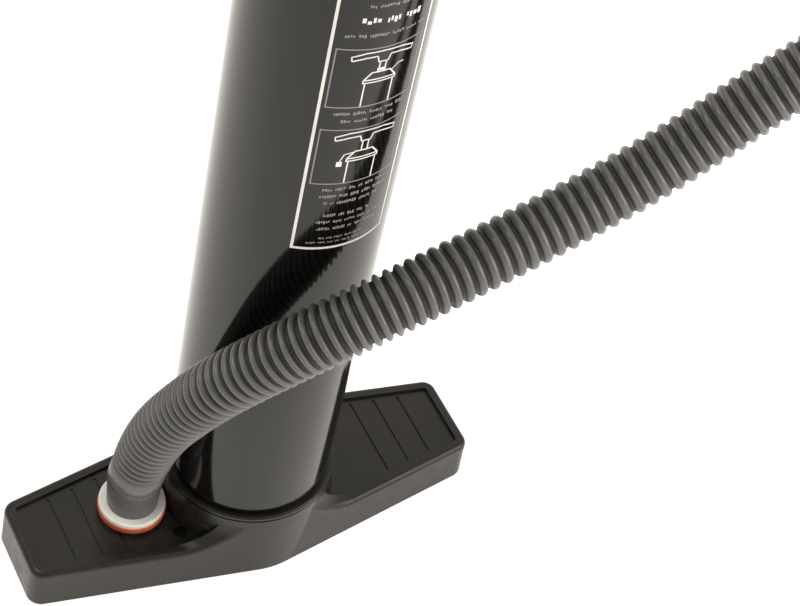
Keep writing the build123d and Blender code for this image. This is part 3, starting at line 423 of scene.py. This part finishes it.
def make_hose():
    line = Line(hose_centre_line())
    bm = bmesh.new()
    ridge = bm.verts.layers.float.new("ridge")
    outside = hose_stations(line.length / MM)
    rings = []
    for s, radius, up in outside:
        rings.append(new_ring(bm, *line.read(s * MM), radius * MM, HOSE_SIDES))
        for vertex in rings[-1]:
            vertex[ridge] = up
    bore = min(radius for s, radius, up in outside) - HOSE_WALL
    inside = Line(line.points)
    count = int(line.length / MM / BORE_STEP)
    back = [new_ring(bm, *inside.read(line.length * i / count), bore * MM, HOSE_SIDES)
            for i in range(count + 1)]
    rings += reversed(back)
    skin(bm, rings + rings[:1])
    hose = new_piece("hose_corrugated", bm, hose_material())
    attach(hose, "base")
    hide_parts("hose")


make_hose()

# ---------------------------------------------------------------- print on the barrel
# All in mm: u runs round the barrel from the print's middle, z up it.
PRINT_RADIUS = 47.5
PRINT_HEIGHT, PRINT_SINK = 0.06, -0.05
PRINT_CENTRE = radians(-89.0)
PRINT_LEFT, PRINT_RIGHT = -26.8, 26.5
PRINT_BOTTOM, PRINT_TOP = 282.5, 468.0
BORDER_WIDTH, PICTURE_BORDER = 1.5, 0.7
PICTURE_LEFT, PICTURE_RIGHT = -23.5, 22.0
MIDDLE = 0.5
# how wide a strip of the print may be before it would cut into the barrel's curve
STRIP_WIDTH = 2.0
PRINT_BRIGHT, PRINT_DIM = (0.70, 0.69, 0.66), (0.21, 0.205, 0.195)
# (z, middle, half length, height) of the two headings
HEADINGS = ((459.0, MIDDLE, 14, 3.4), (431.4, 1.0, 15, 4.2))
# (z, half length) of the rows of small print, and of the two smallest at the bottom
ROWS = ((452.0, 20), (446.6, 21), (441.2, 12), (423.6, 21), (375.2, 19), (370.4, 15),
        (324.2, 17), (319.4, 18), (314.6, 15), (305.8, 14), (301.0, 17), (296.2, 16))
LAST_ROWS = ((289.8, 14), (286.6, 20))
ROW_HEIGHT, LAST_ROW_HEIGHT = 2.3, 1.5
# a blind mark's width over the row's height, and the gaps over that width
MARK_WIDTH, MARK_GAP, WORD_GAP = 0.34, 0.5, 1.8
PRINT_SEED = 11
# (bottom, top, whether the relief plug is out) of the two pictures
PICTURES = ((380.0, 417.0, False), (329.0, 366.0, True))


def on_barrel(u, z, lift):
    """Point on the barrel, lifted off its surface by lift."""
    angle = PRINT_CENTRE + u / PRINT_RADIUS
    r = (PRINT_RADIUS + lift) * MM
    return Vector((r * cos(angle), r * sin(angle), z * MM))


class Print:
    """Thin raised shapes on the barrel, each a closed solid."""

    def __init__(self):
        self.bm = bmesh.new()

    def solid(self, pairs):
        """A ribbon between pairs of (u, z) points, one pair at each station."""
        stations = []
        for a, b in pairs:
            corners = ((*a, PRINT_SINK), (*b, PRINT_SINK), (*b, PRINT_HEIGHT), (*a, PRINT_HEIGHT))
            stations.append([self.bm.verts.new(on_barrel(*corner)) for corner in corners])
        skin(self.bm, stations)
        self.bm.faces.new(stations[0])
        self.bm.faces.new(stations[-1])

    def block(self, u0, u1, z0, z1):
        """A rectangle, cut into strips so that it follows the barrel."""
        steps = max(1, int((u1 - u0) / STRIP_WIDTH))
        us = [u0 + (u1 - u0) * i / steps for i in range(steps + 1)]
        self.solid([((u, z0), (u, z1)) for u in us])

    def stroke(self, points, width):
        """An open line through points, cut into short pieces so that it follows the barrel."""
        fine = []
        for (u0, z0), (u1, z1) in zip(points, points[1:]):
            parts = max(1, int(abs(u1 - u0) / STRIP_WIDTH))
            fine += [(u0 + (u1 - u0) * i / parts, z0 + (z1 - z0) * i / parts)
                     for i in range(parts)]
        fine.append(points[-1])
        pairs = []
        for i, (u, z) in enumerate(fine):
            before = fine[max(i - 1, 0)]
            after = fine[min(i + 1, len(fine) - 1)]
            du, dz = after[0] - before[0], after[1] - before[1]
            size = hypot(du, dz)
            nu, nz = -dz / size * width / 2, du / size * width / 2
            pairs.append(((u - nu, z - nz), (u + nu, z + nz)))
        self.solid(pairs)

    def frame(self, u0, u1, z0, z1, width):
        """The outline of a rectangle."""
        self.block(u0, u1, z0, z0 + width)
        self.block(u0, u1, z1 - width, z1)
        self.block(u0, u0 + width, z0 + width, z1 - width)
        self.block(u1 - width, u1, z0 + width, z1 - width)


def blind_row(sheet, dice, z, middle, half, height):
    """A row of blind marks of uneven size that stands for a line of small print."""
    u = middle - half
    mark = height * MARK_WIDTH
    while u < middle + half - 3 * mark:
        for bar in range(dice.randint(2, 8)):
            if u > middle + half:
                break
            tall = height * dice.uniform(0.45, 0.95)
            low = z + (height - tall) * dice.random()
            wide = mark * dice.uniform(0.6, 1.4)
            sheet.block(u, u + wide, low, low + tall)
            u += wide + mark * MARK_GAP
        u += mark * WORD_GAP


# Outlines in a picture, as (u, z) from the picture's middle and a height of its own.
HANDLE_OUTLINE = ((-15.6, -3.0), (-16, -0.4), (-9, 1.6), (0, 2.0), (9, 1.6), (16, -0.4),
                  (15.6, -3.0), (9, -1.4), (3.4, -1.0))
HANDLE_UNDERSIDE = ((-15.6, -3.0), (-9, -1.4), (-3.4, -1.0))
HUB_OUTLINE = ((-3.4, -1.0), (-2.4, -4.6), (2.4, -4.6), (3.4, -1.0))
SHOULDER_OUTLINE = ((-8.0, -4.2), (-4.6, 0), (4.6, 0), (8.0, -4.2))
LOOSE_STRAP = ((-4.6, -0.4), (-9.8, -1.4), (-11.6, -6.0))
POINTER = ((5.4, -1.0), (9.0, 2.2), (12.0, 2.2))
# Plain parts of a picture: walls as (inner, outer) half widths, plugs as (u0, u1, z0, z1).
NECK_WALL, BARREL_WALL = (1.2, 1.9), (6.9, 7.6)
NECK_LOW, NECK_HIGH = -10.6, -4.6
SKIRT_HALF, SKIRT_LOW, SKIRT_HIGH = 8.6, -6.6, -4.2
PLUG_OUT, PLUG_IN = (-13.0, -10.2, -9.4, -6.2), (-2.4, 1.2, 0.7, 2.4)
HANDLE_BELOW_TOP, CAP_BELOW_HANDLE = 4.4, 11.0
HANDLE_LINE, SHOULDER_LINE, STRAP_LINE, THIN_LINE = 0.75, 0.8, 0.6, 0.7


def pump_picture(sheet, z0, z1, plug_out):
    """A generic outline of the pump's top: handle, neck, cap, barrel and relief plug."""
    handle = z1 - HANDLE_BELOW_TOP
    cap = handle - CAP_BELOW_HANDLE

    def draw(outline, z, width):
        sheet.stroke([(MIDDLE + u, z + up) for u, up in outline], width)

    def both_walls(wall, low, high):
        inner, outer = wall
        sheet.block(MIDDLE - outer, MIDDLE - inner, low, high)
        sheet.block(MIDDLE + inner, MIDDLE + outer, low, high)

    def plug(u0, u1, low, high):
        sheet.block(MIDDLE + u0, MIDDLE + u1, cap + low, cap + high)

    for outline in (HANDLE_OUTLINE, HANDLE_UNDERSIDE, HUB_OUTLINE):
        draw(outline, handle, HANDLE_LINE)
    both_walls(NECK_WALL, handle + NECK_LOW, handle + NECK_HIGH)
    draw(SHOULDER_OUTLINE, cap, SHOULDER_LINE)
    sheet.frame(MIDDLE - SKIRT_HALF, MIDDLE + SKIRT_HALF, cap + SKIRT_LOW, cap + SKIRT_HIGH,
                THIN_LINE)
    both_walls(BARREL_WALL, z0 + THIN_LINE, cap + SKIRT_LOW)
    if plug_out:
        draw(LOOSE_STRAP, cap, STRAP_LINE)
        plug(*PLUG_OUT)
    else:
        plug(*PLUG_IN)
        draw(POINTER, cap, STRAP_LINE)


def make_print():
    dice = random.Random(PRINT_SEED)
    bold, fine = Print(), Print()
    bold.frame(PRINT_LEFT, PRINT_RIGHT, PRINT_BOTTOM, PRINT_TOP, BORDER_WIDTH)
    for row in HEADINGS:
        blind_row(bold, dice, *row)
    for rows, height in ((ROWS, ROW_HEIGHT), (LAST_ROWS, LAST_ROW_HEIGHT)):
        for z, half in rows:
            blind_row(fine, dice, z, MIDDLE, half, height)
    for z0, z1, plug_out in PICTURES:
        fine.frame(PICTURE_LEFT, PICTURE_RIGHT, z0, z1, PICTURE_BORDER)
        pump_picture(bold, z0, z1, plug_out)
    for name, sheet, colour in (("barrel_print", bold, PRINT_BRIGHT),
                                ("barrel_small_print", fine, PRINT_DIM)):
        ink = plastic(name + "_ink", colour, 0.5, (3000, 0.00001, 0.1), spread=0.06)
        label = new_piece(name, sheet.bm, ink, smooth=False)
        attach(label, "base")


make_print()

# ---------------------------------------------------------------- grips
GRIP_BORE = 0.0121
GRIP_SIDES = 48
RIB_COUNT = 16
PLAIN_RIM = 0.006
# the rounded rim at each end: distance from the end and drop below the full radius
RIM = ((0.0, 0.0016), (0.0007, 0.0005), (0.0018, 0.0))
# one groove and one rib: share of the pitch and height over the full radius
RIB = ((0.0, 0.0), (0.15, -0.0009), (0.35, -0.0009), (0.5, 0.0), (0.62, 0.0004), (0.75, 0.0006),
       (0.88, 0.0004))


def make_grip(node):
    """Ribbed rubber sleeve on one arm of the handle."""
    low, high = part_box(node)
    radius = (high.z - low.z) / 2
    length = high.x - low.x
    last = length - PLAIN_RIM
    pitch = (last - PLAIN_RIM) / RIB_COUNT
    profile = [(0.0, GRIP_BORE)] + [(x, radius - drop) for x, drop in RIM]
    for i in range(RIB_COUNT):
        at = PLAIN_RIM + (last - PLAIN_RIM) * i / RIB_COUNT
        profile += [(at + part * pitch, radius + height) for part, height in RIB]
    profile.append((last, radius))
    profile += [(length - x, radius - drop) for x, drop in reversed(RIM)]
    profile.append((length, GRIP_BORE))
    bm = bmesh.new()
    side, across = Vector((0, 1, 0)), Vector((0, 0, 1))
    axis_z = (low.z + high.z) / 2
    rings = [new_ring(bm, Vector((low.x + x, 0, axis_z)), side, across, r, GRIP_SIDES)
             for x, r in profile]
    skin(bm, rings + rings[:1])
    grip = new_piece(node + "_ribbed", bm, FINISHES["grip_rubber"])
    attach(grip, "plunger")
    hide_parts(node)


make_grip("grip_left")
make_grip("grip_right")


# ---------------------------------------------------------------- studio
STUDIO_TINT = (1.0, 0.955, 0.895)
FLOOR_HALF = 9.0
FLOOR_DARK, FLOOR_LIGHT = (0.93, 0.93, 0.925), (0.95, 0.95, 0.945)
FLOOR_GLOW = 0.52
SKY_STRENGTH = 0.72
# name, place, target, diameter and power in watts
LIGHTS = (
    ("softbox_top", (-0.9, 0.5, 2.6), (0, 0, 0.2), 1.6, 22),
    ("softbox_back", (1.2, 1.7, 2.3), (0.05, -0.05, 0.1), 2.4, 5),
    ("softbox_right", (1.6, -1.3, 1.1), (0, 0, 0.10), 2.0, 40),
)


def make_floor():
    material, tree, shader = new_material("studio_floor")
    tone = ramp(tree, noise(tree, 3.0, 2.0, 0.5), 0.0, 1.0)
    colour = blend_colours(tree, tone, FLOOR_DARK, FLOOR_LIGHT)
    tree.links.new(colour, shader.inputs["Base Color"])
    shader.inputs["Roughness"].default_value = 0.9
    shader.inputs["Specular IOR Level"].default_value = 0.1
    shader.inputs["Emission Color"].default_value = (*STUDIO_TINT, 1)
    shader.inputs["Emission Strength"].default_value = FLOOR_GLOW
    bm = bmesh.new()
    bm.faces.new([bm.verts.new((x * FLOOR_HALF, y * FLOOR_HALF, 0))
                  for x, y in ((-1, -1), (1, -1), (1, 1), (-1, 1))])
    new_piece("studio_floor", bm, material, smooth=False)


def area_light(name, place, target, size, power):
    data = bpy.data.lights.new(name, "AREA")
    data.shape = "DISK"
    data.size = size
    data.energy = power
    data.color = STUDIO_TINT
    light = bpy.data.objects.new(name, data)
    light.location = place
    light.rotation_mode = "QUATERNION"
    light.rotation_quaternion = (Vector(target) - Vector(place)).to_track_quat("-Z", "Y")
    SCENE.collection.objects.link(light)


def make_studio():
    make_floor()
    world = bpy.data.worlds.new("studio")
    world.use_nodes = True
    background = world.node_tree.nodes["Background"]
    background.inputs["Color"].default_value = (*STUDIO_TINT, 1)
    background.inputs["Strength"].default_value = SKY_STRENGTH
    SCENE.world = world
    for light in LIGHTS:
        area_light(*light)
    SCENE.view_settings.view_transform = "Standard"
    SCENE.view_settings.look = "None"


make_studio()
